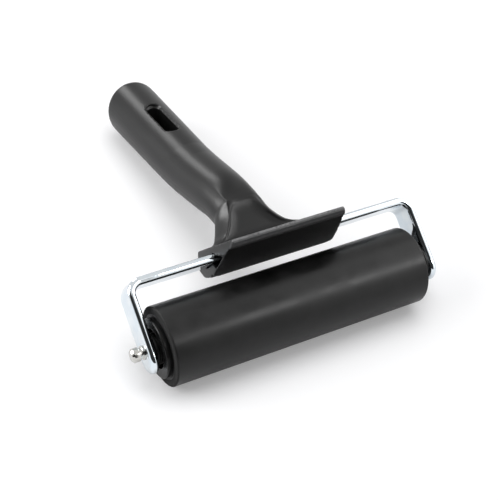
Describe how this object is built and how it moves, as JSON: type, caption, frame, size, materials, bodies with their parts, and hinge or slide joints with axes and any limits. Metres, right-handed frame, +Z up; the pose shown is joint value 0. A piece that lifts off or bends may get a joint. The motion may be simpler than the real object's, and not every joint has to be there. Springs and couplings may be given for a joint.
{
  "type": "rubber brayer",
  "caption": "Hand roller for spreading ink: a free-running rubber roller on an axle in a bent steel strap frame, with a moulded handle that has a slot to hang it by.",
  "frame": {"origin": "on the bench, under the middle of the whole tool as it lies on its roller and on the butt of its handle", "axes": "+X along the roller towards its right end, +Y from the roller towards the butt of the handle, +Z up from the bench"},
  "size_m": [0.1202, 0.1542, 0.0447],
  "materials": {
    "handle_plastic": "satin moulded plastic",
    "plated_steel": "bright plated",
    "axle_steel": "turned, lightly polished",
    "washer_plastic": "smooth moulded plastic",
    "core_plastic": "plain",
    "rubber": "ground matte",
    "cap_plastic": "glossy moulded plastic",
    "bush_plastic": "smooth moulded plastic"
  },
  "bodies": {
    "handle": {"handle": "handle_plastic", "frame": "plated_steel", "axle": "axle_steel", "left_washer": "washer_plastic", "right_washer": "washer_plastic"},
    "roller": {"roller_core": "core_plastic", "rubber_sleeve": "rubber", "left_end_cap": "cap_plastic", "right_end_cap": "cap_plastic", "left_bush": "bush_plastic", "right_bush": "bush_plastic"}
  },
  "joints": [
    {"name": "roller_spin", "type": "hinge", "parent": "handle", "child": "roller", "pos_m": [0.0018, -0.06299, 0.01415], "axis": [1, 0, 0], "continuous": true}
  ]
}
